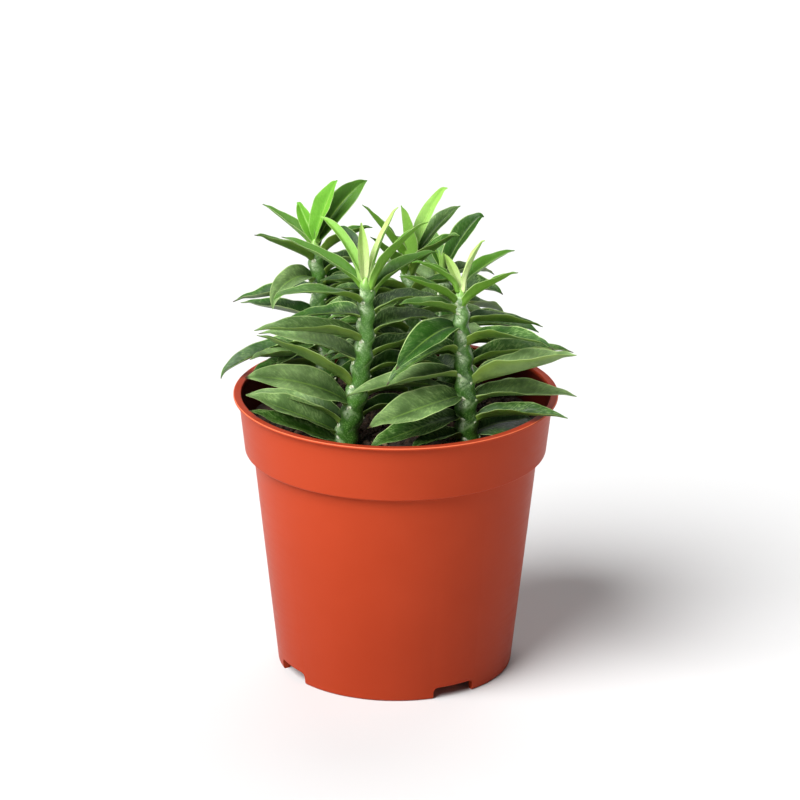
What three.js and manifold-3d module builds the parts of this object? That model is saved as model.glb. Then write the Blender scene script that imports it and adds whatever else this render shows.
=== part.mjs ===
// A devil's backbone plant in its plastic nursery pot, in millimetres, Z up.
// The origin is on the pot's axis, in the plane that its foot ring stands on.
// The front of the plant faces -Y and its two ranks of leaves spread along X.

import * as THREE from 'three';
import { mergeVertices } from 'three/addons/utils/BufferGeometryUtils.js';
import Module from 'manifold-3d';

const wasm = await Module();
wasm.setup();

// Driving dimensions of the pot
const POT_HEIGHT = 95;
const LIP_RADIUS = 54;
const LIP_WIDTH = 2.6;
const LIP_THICKNESS = 0.8;
const BAND_HEIGHT = 19.6;
const BAND_TOP_RADIUS = 52.3;
const BAND_LOW_RADIUS = 50.2;
const BODY_TOP_RADIUS = 47.5;
const BODY_LOW_RADIUS = 39.4;
const WALL = 1.1;
const FLOOR_UNDERSIDE = 4.0;
const FLOOR_THICKNESS = 1.3;
const NOTCH_COUNT = 4;
const NOTCH_FIRST_ANGLE = -60;
const NOTCH_SPAN = 22;
const NOTCH_HEIGHT = 4.0;
const NOTCH_ROUND = 1.6;
const NOTCH_CUT_DEPTH = 8;
const NOTCH_CUT_START = 6;
const DRAIN_RADIUS = 4.0;
const DRAIN_CIRCLE = 27;
const DRAIN_SIDES = 16;
const DRILL_LENGTH = 6;
const POT_SIDES = 48;
const EDGE = 0.4;

// Driving dimensions of the soil
const GAP = 0.3;
const SOIL_LEVEL = 84;
const SOIL_SIDES = 28;
const SOIL_EDGE_WIDTH = 1.5;
const SOIL_EDGE_DROP = 1.2;
const SOIL_RINGS = [34, 17, 0];
const HOLE_FLOOR = 70;

// Driving dimensions of the stems and leaves
const STEM_SIDES = 10;
const STEM_LOW_RADIUS = 4.1;
const STEM_TOP_RADIUS = 2.2;
const STEM_TAPER = 0.75;
const NODE_SPACING = 7.2;
const HALVINGS = 30;
const ZIGZAG = 0.45;
const BLADE_THICKNESS = 0.66;
const BLADE_STATIONS = 7;
const STATION_CROWDING = 0.95;
const ROOT_DEPTH = 1.6;
const FOOT_REACH = 0.16;
const FOOT_LIFT = 1.6;
const BEND_REACH = 0.7;
const BEND_LIFT = 1.4;
const PETIOLE_WIDTH = 2.0;
const TIP_WIDTH = 0.7;
const MOST_LEAVES = 40;
const BLADE_SWELL = 1.0;
const BLADE_CLOSE = 1.15;
const FOLD_AT_BASE = 46;
const FOLD_AT_TIP = 26;
const WAVE_HEIGHT = 0.35;
const WAVES_PER_BLADE = 2.2;
const WAVE_FULL_REACH = 5;

const UP = new THREE.Vector3(0, 0, 1);
const FRONT = new THREE.Vector3(0, -1, 0);

// Each stem: the points that its axis passes, and its leaves.
// A leaf's row: height of its base, tip x, y and z, rise of its arch over the chord, width
// when flat, the angle that its upper face turns to the front, how far its tip hooks down,
// and the share of the usual fold, for the leaves that lie flatter.
const STEMS = [
  {
    name: 'stem_front_left',
    axis: [[-17.9, -21, 70], [-16.4, -21, 84], [-12.4, -21, 104], [-10, -20.6, 121], [-9.7, -20, 142]],
    leaves: [
      [139.0, -11.4, -20, 160.1, 1, 4.5, 70],
      [139.0, 0.5, -14, 163.5, 3, 3.5, 0],
      [138.5, -25, -10, 158.9, 4, 5, 15],
      [138.0, 10.2, -26, 162.3, 3, 7, 0],
      [138.5, -37.5, -8, 151.3, 1.5, 7, 0],
      [135.5, 13.5, -10, 147, 2.5, 8, 0],
      [134.0, -39.3, -39, 140, 2.4, 11, 0, 0.5, 0.35],
      [129.5, 15, -10, 131, 2.5, 11, 0, 0, 0.7],
      [128.0, -38, -12, 122.5, 2.3, 13, 0, 0, 0.45],
      [122.5, 15.5, -9, 123.5, 2.5, 12, 0, 0, 0.8],
      [121.0, -45.6, -37, 129, 1.4, 12, 0],
      [115.0, 18, -6, 112, 2.5, 12, 0],
      [113.0, -45.3, -4, 116.5, 2, 12, 0, 0, 0.7],
      [108.5, 18, -5, 105, 2.5, 12, 0],
      [105.5, -45, -30, 125, 1, 10, -10],
      [101.0, 17, -5, 98, 2, 11, 0],
      [98.4, -48.7, -39, 113.5, 3, 13, 40, 0, 0.5],
      [94.0, 13, -6, 92, 2, 10, 0],
      [91.6, -49.5, -8, 96.5, 2.5, 11, 5],
      [88.0, -49, -21, 101, 0.6, 13, 15, 0, 0.8],
      [85.0, -48, -26, 97.6, 0, 11, 10, 0, 0.5],
      [136.5, -19, -4, 153.8, 4, 7, 0],
      [104.5, 14, -6, 101.5, 2, 11, 0],
    ],
  },
  {
    name: 'stem_front_right',
    axis: [[24.4, -21, 70], [23.6, -21, 84], [22.8, -21, 104], [21.5, -21, 121], [20.5, -20.5, 139]],
    leaves: [
      [137.0, 15.5, -20, 149.5, 1, 4, 60],
      [137.0, 28.6, -20, 154.2, 3, 3.5, 0],
      [137.5, 5, -24, 148, 2.2, 5, 0],
      [138.0, 38.6, -8, 147, 1.8, 7, 0],
      [134.0, 1, -34, 146.5, 1, 7, 0],
      [133.0, 39, -34, 148, 1.2, 7, 0],
      [130.7, 1, -31, 136, 1, 8, 0],
      [127.0, 48.3, -6, 120, 1.2, 9, 0],
      [124.6, 0, -42, 117.5, 3.3, 12, 20, 0, 0.6],
      [120.0, 50.6, -40, 124, 3, 10, 0],
      [117.3, -3, -34, 109.3, 3.5, 11, 10],
      [112.5, 58.7, -2, 109.7, 2, 11, 0],
      [109.6, -16, -35, 106, 0.8, 11, 5],
      [107.0, 58.2, -36, 120.8, -0.3, 16, 0, 0, 1.5],
      [101.8, -9, -44, 98.3, 0.6, 14, 20, 0, 0.6],
      [100.8, 59.3, -19, 100.4, 1, 12, 10],
      [94.6, -8.5, -37, 89, 0.8, 13, 20, 0, 0.6],
      [93.6, 56, -31, 97.2, 1.5, 10, 5],
      [97.5, 49, -3, 99, 1.5, 11, 0],
      [88.0, 5, -37, 88.6, 1, 9, 15],
      [87.6, 45.5, -9, 88.5, 1.5, 13, 30, 0, 0.4],
    ],
  },
  {
    name: 'stem_back_left',
    axis: [[-22.5, 20, 70], [-23.2, 20, 84], [-25, 21, 110], [-26.4, 22, 128], [-27, 22, 141]],
    leaves: [
      [140.0, -19.7, 22, 161.4, 2, 9, 45],
      [139.5, -33.3, 30, 151.2, 1, 6, 45],
      [138.5, -9.8, 33, 158, 3.2, 10, 45],
      [138.5, -44.9, 32, 149.9, 0.8, 6, 0],
      [136.0, -8, 16, 147, 1.5, 8, 0],
      [134.5, -46.8, 6, 147.4, 0.4, 8, 0],
      [128.5, -6, 29, 129, 3, 11, 0],
      [126.5, -41, 9, 120.5, 4, 9, 30, 1],
      [123.0, -55.1, 30, 116, 0.7, 10, 0],
      [125.0, -9, 24, 121.5, 2, 10, 10],
      [121.0, -5, 17, 126, 2.5, 12, 15],
      [117.5, -8, 25, 118, 2.5, 12, 10],
      [113.5, -52.8, 38, 113, 0.5, 10, 0],
      [114.5, -4, 30, 112, 2.5, 12, 10],
      [105.5, -58.6, 12, 94.8, 2.6, 9, 5, 0.9],
      [107.5, -4, 18, 109, 2, 12, 15],
      [99.5, -48.6, 4, 104.5, 1.5, 10, 0],
      [100.5, -4, 30, 97, 2, 12, 10],
      [104.0, -40, 8, 100.5, 1, 10, 0],
      [96.5, -48.3, 9, 97.5, 2.5, 10, 0],
      [93.0, -43, 23, 93, 1.5, 9, 0],
      [93.5, -5, 20, 95.5, 1.5, 11, 10],
    ],
  },
  {
    name: 'stem_back_centre',
    axis: [[7.2, 8, 70], [7, 8, 84], [6.2, 8, 108], [4.8, 8.6, 124], [3.8, 9, 138]],
    leaves: [
      [135.0, 16.8, 10, 162.6, 5, 6, 40],
      [135.0, 1.5, 3, 158.8, 2, 9, 30],
      [137.0, -11.3, 6, 158, 1, 8, 0],
      [135.5, 21.2, 18, 154, 2.2, 9, 20],
      [134.0, -8.5, -5, 150.5, 0, 8, 0],
      [133.5, 20.6, -4, 150.7, 2, 9, 15],
      [128.0, -25, -4, 135, 1, 11, 0, 0, 0.8],
      [124.5, -22, 8, 127, 2, 11, 0],
      [124.0, -5, -3, 122.5, 1.5, 10, 0],
      [127.0, 20, -2, 134, 1.5, 9, 0],
      [121.0, -24, 9, 121.4, 2, 12, 10],
      [119.5, 30.2, 10, 118.8, 1.3, 12, 0],
      [114.0, -24, -3, 118, 2, 12, 0, 0, 0.8],
      [112.5, 30.8, -5, 116, 2, 12, 10],
      [107.0, -24, 10, 103.7, 2, 12, 10],
      [105.5, 31.2, 12, 101.5, 1.3, 12, 0],
      [100.0, -23, -6, 101.5, 2, 12, 0, 0, 0.8],
      [98.5, 29.8, -4, 100.3, 2, 12, 10],
      [96.0, -20, 13, 97, 2, 11, 0],
      [110.5, -23, 6, 110.5, 1.5, 11, 0],
      [104.5, -23, 4, 104, 1.5, 11, 0],
      [117.5, -24, 8, 116.5, 2, 11, 0],
      [92.5, -20, 2, 91.5, 1.5, 9, 0],
      [91.5, 28.2, 10, 88.2, 1.5, 9, 0],
    ],
  },
  {
    name: 'stem_back_right',
    axis: [[18.6, 26, 70], [18.4, 26, 84], [18, 26, 104], [16.8, 26, 117], [15.4, 26, 129]],
    leaves: [
      [127.5, 14.2, 25.5, 136, 0, 3, 0],
      [127.5, 15.8, 24.5, 135.5, 0, 3, 0],
      [127.5, 9, 40, 141, 1.5, 7, 0],
      [127.5, 22, 36, 139.5, 1, 5, 0],
      [126.5, 29.3, 30, 146.3, 3.2, 9, 30, 0.4],
      [126.5, 0, 44, 135, 1, 8, 0],
      [125.0, 33.3, 44, 121.5, 2.5, 8, 0],
      [121.0, -5, 38, 128, 1.5, 9, 0],
      [118.5, 35.8, 22, 121.7, 3, 11, 10],
      [114.5, -7.1, 48, 114.8, 2, 10, 0],
      [112.5, 37, 46, 106.8, 3, 11, 0],
      [107.5, 48, 20, 109, 2.5, 11, 10],
      [107.5, -7, 41, 108, 2, 10, 0],
      [100.5, 42.3, 42, 97.5, 2, 12, 0],
      [100.0, -7.1, 48, 96.5, 2, 10, 0],
      [93.5, 41.7, 16, 100.5, 1.5, 11, 10],
      [92.5, -5, 41, 92, 1.5, 9, 0],
      [102.5, 44, 16, 104, 2, 11, 0],
    ],
  },
];

// A fixed scatter between 0 and 1 for item n, the same at every run
function scatter(n) {
  const value = Math.sin(n * 12.9898) * 43758.5453;
  return value - Math.floor(value);
}

// Turns a closed geometry into a solid that can be joined and cut
function solidOf(geometry) {
  const bare = geometry.clone();
  bare.deleteAttribute('normal');
  bare.deleteAttribute('uv');
  const merged = mergeVertices(bare, 1e-4);
  return new wasm.Manifold(new wasm.Mesh({
    numProp: 3,
    vertProperties: new Float32Array(merged.attributes.position.array),
    triVerts: new Uint32Array(merged.index.array),
  }));
}

// Turns a solid back into a geometry
function geometryOf(solid) {
  const mesh = solid.getMesh();
  const geometry = new THREE.BufferGeometry();
  geometry.setAttribute('position', new THREE.Float32BufferAttribute(mesh.vertProperties, 3));
  geometry.setIndex(Array.from(mesh.triVerts));
  geometry.computeVertexNormals();
  return geometry;
}

// A body of revolution about Z from [radius, height] pairs
function turned(profile, sides) {
  const points = profile.map(([radius, height]) => new THREE.Vector2(radius, height));
  return new THREE.LatheGeometry(points, sides).rotateX(Math.PI / 2);
}

// Outer radius of the pot's body under the band, at a height
function bodyRadius(height) {
  const top = POT_HEIGHT - BAND_HEIGHT;
  return BODY_LOW_RADIUS + (BODY_TOP_RADIUS - BODY_LOW_RADIUS) * (height / top);
}

// The pot's section: outside from the foot up, over the lip, and down the inside
function potSolid() {
  const bandFoot = POT_HEIGHT - BAND_HEIGHT;
  const lipUnderside = POT_HEIGHT - LIP_THICKNESS;
  const lipInner = LIP_RADIUS - LIP_WIDTH;
  const floorTop = FLOOR_UNDERSIDE + FLOOR_THICKNESS;
  const shell = solidOf(turned([
    [0, FLOOR_UNDERSIDE],
    [BODY_LOW_RADIUS - 2 * WALL, FLOOR_UNDERSIDE],
    [BODY_LOW_RADIUS - 2 * WALL, 0],
    [BODY_LOW_RADIUS - 2 * EDGE, 0],
    [BODY_LOW_RADIUS, 2 * EDGE],
    [BODY_TOP_RADIUS, bandFoot],
    [BAND_LOW_RADIUS - EDGE, bandFoot],
    [BAND_LOW_RADIUS, bandFoot + EDGE],
    [BAND_TOP_RADIUS, lipUnderside],
    [LIP_RADIUS - EDGE, lipUnderside],
    [LIP_RADIUS, lipUnderside + EDGE],
    [LIP_RADIUS, POT_HEIGHT - EDGE],
    [LIP_RADIUS - EDGE, POT_HEIGHT],
    [lipInner + EDGE, POT_HEIGHT],
    [lipInner - EDGE, POT_HEIGHT - EDGE],
    [BAND_LOW_RADIUS - WALL, bandFoot + WALL + EDGE],
    [BODY_TOP_RADIUS - WALL, bandFoot + WALL],
    [bodyRadius(floorTop) - WALL, floorTop],
    [0, floorTop],
  ], POT_SIDES));
  return cutDrains(cutNotches(shell));
}

// The notches that let water out under the foot ring
function cutNotches(shell) {
  let result = shell;
  const width = 2 * BODY_LOW_RADIUS * Math.sin(THREE.MathUtils.degToRad(NOTCH_SPAN / 2));
  for (let i = 0; i < NOTCH_COUNT; i += 1) {
    const arch = new THREE.Shape();
    arch.moveTo(-width / 2, -1);
    arch.lineTo(width / 2, -1);
    arch.lineTo(width / 2, NOTCH_HEIGHT - NOTCH_ROUND);
    arch.absarc(width / 2 - NOTCH_ROUND, NOTCH_HEIGHT - NOTCH_ROUND, NOTCH_ROUND, 0, Math.PI / 2, false);
    const leftRound = NOTCH_ROUND - width / 2;
    arch.absarc(leftRound, NOTCH_HEIGHT - NOTCH_ROUND, NOTCH_ROUND, Math.PI / 2, Math.PI, false);
    arch.closePath();
    const cut = { depth: NOTCH_CUT_DEPTH, bevelEnabled: false, curveSegments: 4 };
    const block = new THREE.ExtrudeGeometry(arch, cut);
    block.rotateX(Math.PI / 2);
    block.translate(0, NOTCH_CUT_START - BODY_LOW_RADIUS, 0);
    block.rotateZ(THREE.MathUtils.degToRad(NOTCH_FIRST_ANGLE + 90 + i * 360 / NOTCH_COUNT));
    result = result.subtract(solidOf(block));
  }
  return result;
}

// The drain holes: one in the middle of the floor and one in line with each notch
function cutDrains(shell) {
  let result = shell;
  for (let i = 0; i <= NOTCH_COUNT; i += 1) {
    const drill = new THREE.CylinderGeometry(DRAIN_RADIUS, DRAIN_RADIUS, DRILL_LENGTH, DRAIN_SIDES);
    drill.rotateX(Math.PI / 2);
    const angle = THREE.MathUtils.degToRad(NOTCH_FIRST_ANGLE + i * 360 / NOTCH_COUNT);
    const reach = i === NOTCH_COUNT ? 0 : DRAIN_CIRCLE;
    drill.translate(reach * Math.cos(angle), reach * Math.sin(angle), FLOOR_UNDERSIDE + FLOOR_THICKNESS / 2);
    result = result.subtract(solidOf(drill));
  }
  return result;
}

// The soil fills the pot up to its level, with a plain hole for each stem
function soilSolid() {
  const bandFoot = POT_HEIGHT - BAND_HEIGHT;
  const low = FLOOR_UNDERSIDE + FLOOR_THICKNESS + GAP;
  const side = WALL + GAP;
  const bandRise = (SOIL_LEVEL - bandFoot) / BAND_HEIGHT;
  const topRadius = BAND_LOW_RADIUS + (BAND_TOP_RADIUS - BAND_LOW_RADIUS) * bandRise - side - EDGE;
  const geometry = turned([
    [0, low],
    [bodyRadius(low) - side, low],
    [BODY_TOP_RADIUS - side - GAP, bandFoot + WALL + GAP],
    [BAND_LOW_RADIUS - side - GAP, bandFoot + WALL + 4 * GAP],
    [topRadius, SOIL_LEVEL - SOIL_EDGE_DROP],
    [topRadius - SOIL_EDGE_WIDTH, SOIL_LEVEL],
    ...SOIL_RINGS.map((radius) => [radius, SOIL_LEVEL]),
  ], SOIL_SIDES);
  const holeHeights = [HOLE_FLOOR - GAP, HOLE_FLOOR, SOIL_LEVEL, SOIL_LEVEL + 1];
  let result = solidOf(geometry);
  for (const stem of STEMS) {
    result = result.subtract(solidOf(stemGeometry(stem, GAP, holeHeights)));
  }
  return result;
}

// The smooth curve that a stem's axis follows
function axisOf(stem) {
  return new THREE.CatmullRomCurve3(stem.axis.map(([x, y, z]) => new THREE.Vector3(x, y, z)));
}

// The point of a stem's axis at a height, swinging to either side from node to node
function axisPoint(stem, height) {
  const curve = axisOf(stem);
  let low = 0;
  let high = 1;
  for (let i = 0; i < HALVINGS; i += 1) {
    const middle = (low + high) / 2;
    if (curve.getPoint(middle).z < height) {
      low = middle;
    } else {
      high = middle;
    }
  }
  const point = curve.getPoint(low);
  const pairs = Math.max(0, height - SOIL_LEVEL) / NODE_SPACING;
  const swing = ZIGZAG * Math.sin(pairs * 2 * Math.PI);
  return new THREE.Vector3(point.x + swing, point.y, height);
}

// A stem's radius at a height: it tapers from the soil to its tip
function stemRadius(stem, height) {
  const top = stem.axis[stem.axis.length - 1][2];
  const share = THREE.MathUtils.clamp((height - SOIL_LEVEL) / (top - SOIL_LEVEL), 0, 1);
  return THREE.MathUtils.lerp(STEM_LOW_RADIUS, STEM_TOP_RADIUS, share ** STEM_TAPER);
}

// A closed turned shape whose rings are moved over to the stem's bent axis
function stemGeometry(stem, grow, heights) {
  const rings = heights.map((height) => [stemRadius(stem, height) + grow, height]);
  const geometry = turned([[0, heights[0]], ...rings, [0, heights.at(-1)]], STEM_SIDES);
  const place = geometry.attributes.position;
  for (let i = 0; i < place.count; i += 1) {
    const centre = axisPoint(stem, place.getZ(i));
    place.setXYZ(i, place.getX(i) + centre.x, place.getY(i) + centre.y, place.getZ(i));
  }
  return geometry;
}

// Heights of a stem's rings: one at each end of its buried foot, then two for each node
function stemHeights(stem) {
  const top = stem.axis[stem.axis.length - 1][2];
  const count = Math.round((top - SOIL_LEVEL) / (NODE_SPACING / 2));
  const heights = [HOLE_FLOOR];
  for (let i = 0; i <= count; i += 1) {
    heights.push(SOIL_LEVEL + (top - SOIL_LEVEL) * i / count);
  }
  return heights;
}

// The midrib of a leaf: it leaves the stem's side steeply, then runs out to its tip
function midribOf(stem, [height, tipX, tipY, tipZ, arch, , , hook = 0]) {
  const centre = axisPoint(stem, height);
  const tip = new THREE.Vector3(tipX, tipY, tipZ);
  const outward = new THREE.Vector3(tipX - centre.x, tipY - centre.y, 0).normalize();
  const start = centre.addScaledVector(outward, stemRadius(stem, height) - ROOT_DEPTH);
  const chord = tip.clone().sub(start);
  const first = start.clone().addScaledVector(chord, FOOT_REACH).addScaledVector(UP, FOOT_LIFT * arch);
  const second = start.clone().addScaledVector(chord, BEND_REACH + (1 - BEND_REACH) * hook);
  second.addScaledVector(UP, (BEND_LIFT + hook) * arch);
  return new THREE.CubicBezierCurve3(start, first, second, tip);
}

// Half of a blade's width at a share of its length: a narrow foot, full near the middle, pointed
function halfWidth(width, share) {
  const swelling = (part) => part ** BLADE_SWELL * Math.max(0, 1 - part) ** BLADE_CLOSE;
  const fullest = BLADE_SWELL / (BLADE_SWELL + BLADE_CLOSE);
  const outline = swelling(share) / swelling(fullest);
  const root = PETIOLE_WIDTH * Math.max(0, 1 - 4 * share);
  return Math.max(width * outline, root, TIP_WIDTH) / 2;
}

// One leaf: two flat halves that fold up from the midrib, with a waved edge
function leafGeometry(stem, row, number) {
  const midrib = midribOf(stem, row);
  const width = row[5];
  const turn = THREE.MathUtils.degToRad(row[6]);
  const foldShare = row[8] ?? 1;
  const corners = [];
  for (let i = 0; i < BLADE_STATIONS; i += 1) {
    const share = (i / (BLADE_STATIONS - 1)) ** STATION_CROWDING;
    const centre = midrib.getPoint(share);
    const along = midrib.getTangent(share);
    const level = UP.clone().addScaledVector(along, -along.dot(UP)).normalize();
    const across = along.clone().cross(level);
    const frontSign = across.dot(FRONT) < 0 ? -1 : 1;
    const face = level.clone().multiplyScalar(Math.cos(turn));
    face.addScaledVector(across, frontSign * Math.sin(turn));
    const side = along.clone().cross(face).normalize();
    const fold = THREE.MathUtils.degToRad(foldShare * THREE.MathUtils.lerp(FOLD_AT_BASE, FOLD_AT_TIP, share));
    const reach = halfWidth(width, share);
    const phase = 2 * Math.PI * (WAVES_PER_BLADE * share + scatter(number));
    const wave = WAVE_HEIGHT * (reach / WAVE_FULL_REACH) * Math.sin(phase);
    const drop = BLADE_THICKNESS / Math.cos(fold);
    const offsets = [[-1, 0], [0, 0], [1, 0], [1, drop], [0, drop], [-1, drop]];
    for (const [hand, depth] of offsets) {
      const lift = Math.abs(hand) * reach * Math.sin(fold) + hand * wave - depth;
      const corner = centre.clone();
      corner.addScaledVector(side, hand * reach * Math.cos(fold));
      corner.addScaledVector(face, lift);
      corners.push(corner.x, corner.y, corner.z);
    }
  }
  const geometry = new THREE.BufferGeometry();
  geometry.setAttribute('position', new THREE.Float32BufferAttribute(corners, 3));
  geometry.setIndex(bladeFaces());
  return geometry;
}

// The triangles of a blade: rings of six corners, split alike on the upper and the lower face
function bladeFaces() {
  const faces = [];
  const ring = 6;
  const last = (BLADE_STATIONS - 1) * ring;
  for (let i = 0; i < BLADE_STATIONS - 1; i += 1) {
    for (let j = 0; j < ring; j += 1) {
      const a = i * ring + j;
      const b = i * ring + (j + 1) % ring;
      const c = b + ring;
      const d = a + ring;
      if (j < 3) {
        faces.push(a, b, c, a, c, d);
      } else {
        faces.push(a, b, d, b, c, d);
      }
    }
  }
  faces.push(0, 4, 1, 0, 5, 4, 1, 4, 2, 2, 4, 3);
  const tipCap = [0, 1, 4, 0, 4, 5, 1, 2, 4, 2, 3, 4];
  faces.push(...tipCap.map((corner) => last + corner));
  return faces;
}

// A leafy stem: the stem and its leaves, grown together as one solid
function leafyStemSolid(stem, stemNumber) {
  const parts = [solidOf(stemGeometry(stem, 0, stemHeights(stem)))];
  stem.leaves.forEach((row, i) => {
    parts.push(solidOf(leafGeometry(stem, row, stemNumber * MOST_LEAVES + i + 1)));
  });
  return parts.reduce((whole, part) => whole.add(part));
}

function material(color, roughness) {
  return new THREE.MeshStandardMaterial({ color, roughness, metalness: 0 });
}

const plant = new THREE.Group();

function addPiece(name, solid, finish) {
  const mesh = new THREE.Mesh(geometryOf(solid), finish);
  mesh.name = name;
  plant.add(mesh);
}

const terracottaPlastic = material(0xc9522f, 0.42);
const darkSoil = material(0x2b1d16, 0.95);
const foliage = material(0x2f7a2c, 0.38);

addPiece('pot', potSolid(), terracottaPlastic);
addPiece('soil', soilSolid(), darkSoil);
STEMS.forEach((stem, i) => addPiece(stem.name, leafyStemSolid(stem, i), foliage));

export default plant;
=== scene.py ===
import math
from collections import namedtuple
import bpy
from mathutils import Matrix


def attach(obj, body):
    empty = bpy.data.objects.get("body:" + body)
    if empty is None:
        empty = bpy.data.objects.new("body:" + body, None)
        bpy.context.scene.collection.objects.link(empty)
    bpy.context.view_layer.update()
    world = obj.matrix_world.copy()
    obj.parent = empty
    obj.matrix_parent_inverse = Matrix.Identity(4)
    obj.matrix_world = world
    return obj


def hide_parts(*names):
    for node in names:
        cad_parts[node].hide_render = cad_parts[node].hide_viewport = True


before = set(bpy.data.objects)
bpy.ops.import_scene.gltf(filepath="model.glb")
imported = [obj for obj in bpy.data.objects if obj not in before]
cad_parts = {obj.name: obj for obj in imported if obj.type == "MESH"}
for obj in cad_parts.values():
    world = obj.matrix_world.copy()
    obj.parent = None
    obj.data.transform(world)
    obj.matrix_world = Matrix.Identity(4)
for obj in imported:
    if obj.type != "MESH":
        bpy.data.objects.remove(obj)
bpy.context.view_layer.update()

from types import SimpleNamespace

import bpy
import numpy as np
from mathutils import Matrix, Vector

# A devil's backbone in its plastic nursery pot, in metres, Z up, the photographed front towards -Y.
# The pot, the soil and the leafy stems stand where the frame's solids stand, with finer meshes.

MM = 0.001
UP = np.array([0.0, 0.0, 1.0])
FRONT = np.array([0.0, -1.0, 0.0])
DRAWS = np.random.default_rng(11)

# Camera, fitted to the pot's rim, band and foot
CAMERA_DISTANCE = 1.4
CAMERA_ELEVATION = math.radians(21.7)
CAMERA_TARGET = Vector((0, 0, 0.05))
CAMERA_AIM = Vector((0.00143, 0.01444, 0.08665))
CAMERA_ROLL = math.radians(0.28)
CAMERA_LENS = 187.4
CAMERA_SENSOR = 36

# Studio, with each sun as add_sun takes it
FLOOR_RADIUS = 6.0
FLOOR_THICKNESS = 4 * MM
FLOOR_COLOUR = (0.64, 0.64, 0.64, 1)
HORIZON_FADE = (0.08, 0.24)
WORLD_STRENGTHS = (1.0, 0.05)
SUNS = [("key", -48, 47, 5.7, 44), ("sheen", 170, 50, 1.2, 50)]

# Pot
POT_HEIGHT = 95 * MM
LIP_RADIUS = 54 * MM
LIP_WIDTH = 2.6 * MM
LIP_THICKNESS = 0.8 * MM
LIP_FOOT = POT_HEIGHT - LIP_THICKNESS
BAND_FOOT = 75.4 * MM
BAND_TOP_RADIUS = 52.3 * MM
BAND_LOW_RADIUS = 50.2 * MM
BODY_TOP_RADIUS = 47.5 * MM
BODY_LOW_RADIUS = 39.4 * MM
WALL = 1.1 * MM
POT_FLOOR_UNDERSIDE = 4.0 * MM
POT_FLOOR_TOP = 5.3 * MM
NOTCH_COUNT = 4
NOTCH_FIRST_ANGLE = math.radians(-60)
NOTCH_SPAN = math.radians(22)
NOTCH_HEIGHT = 4.0 * MM
NOTCH_CORNER = 1.6 * MM
NOTCH_DEPTH = 12 * MM
NOTCH_OVERHANG = 4 * MM
DRAIN_RADIUS = 4.0 * MM
DRAIN_CIRCLE = 27 * MM
POT_SEGMENTS = 224
POT_SHARP_ANGLE = math.radians(38)
LIGHT_REACH_IN_PLASTIC = (1.0, 0.35, 0.15)

# Soil
SOIL_LEVEL = 84 * MM
SOIL_GAP = 0.3 * MM
SOIL_RINGS = 56
SOIL_SEGMENTS = 168
GRAIN_COUNT = 2200
GRAIN_FIELD_MM = 49
GRAIN_REACH = 48.9 * MM
STALK_CLEARANCE = 4.2 * MM
CHIP_SHARE = 0.08

# Stalks
STALK_LOW_RADIUS = 4.1 * MM
STALK_TOP_RADIUS = 2.2 * MM
STALK_TAPER = 0.75
STALK_SUNK = 3 * MM
STALK_ROUNDING = 2.5 * MM
YOUNG_STRETCH = 3.4 * MM
CUSHION_HEIGHT = 0.14
CUSHION_LENGTH = 8.5 * MM
EDGE_RISE = 0.9 * MM
EDGE_DROP = 2.6 * MM
BUD_LENGTH = 4.5 * MM
BUD_NARROWING = 0.6
NODE_SPACING = 7.2 * MM
ZIGZAG = 0.45 * MM
STALK_RING_STEP = 0.34 * MM
STALK_SIDES = 72

# Scars and glands beside each leaf's base
SCAR_TURN = 0.62
UNSCARRED_LENGTH = 6 * MM
GLANDLESS_LENGTH = 4 * MM
GLAND_RINGS = 6
GLAND_SIDES = 10
GLAND_LENGTH = 0.6 * MM
GLAND_WIDTH = 0.28 * MM
GLAND_DROP = 0.5 * MM
SMALL_GLAND = 0.6

# Leaves
ROOT_DEPTH = 1.6 * MM
PETIOLE_WIDTH = 1.5 * MM
TIP_WIDTH = 0.8 * MM
TIP_ROUNDING = 0.03
TIP_END = 1.002
HOOK_HEIGHT = 0.45 * MM
HOOK_PLACE = 0.87
HOOK_REACH = 0.07
BLADE_SWELL = 1.0
BLADE_CLOSE = 1.15
FOOT_REACH = 0.16
FOOT_LIFT = 1.6
BEND_REACH = 0.7
BEND_LIFT = 1.4
FOLD_AT_BASE = math.radians(46)
FOLD_AT_TIP = math.radians(26)
WAVE_HEIGHT = 0.35 * MM
WAVE_FULL_REACH = 5 * MM
WAVES_PER_BLADE = 2.2
CRINKLE_HEIGHT = 0.11 * MM
CRINKLES_PER_BLADE = 4.6
CRINKLE_SHIFT = 2.2
BLADE_THICKNESS = 0.7 * MM
BLADE_STATIONS = 38
BLADE_COLUMNS = 19
SECTION_STEPS = 41
RIB_WIDTH = 0.55 * MM
KEEL_DEPTH = 0.5 * MM
GROOVE_DEPTH = 0.14 * MM
LIGHT_REACH_IN_LEAF = (0.4, 1.0, 0.15)
MOST_LEAVES = 40

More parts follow.
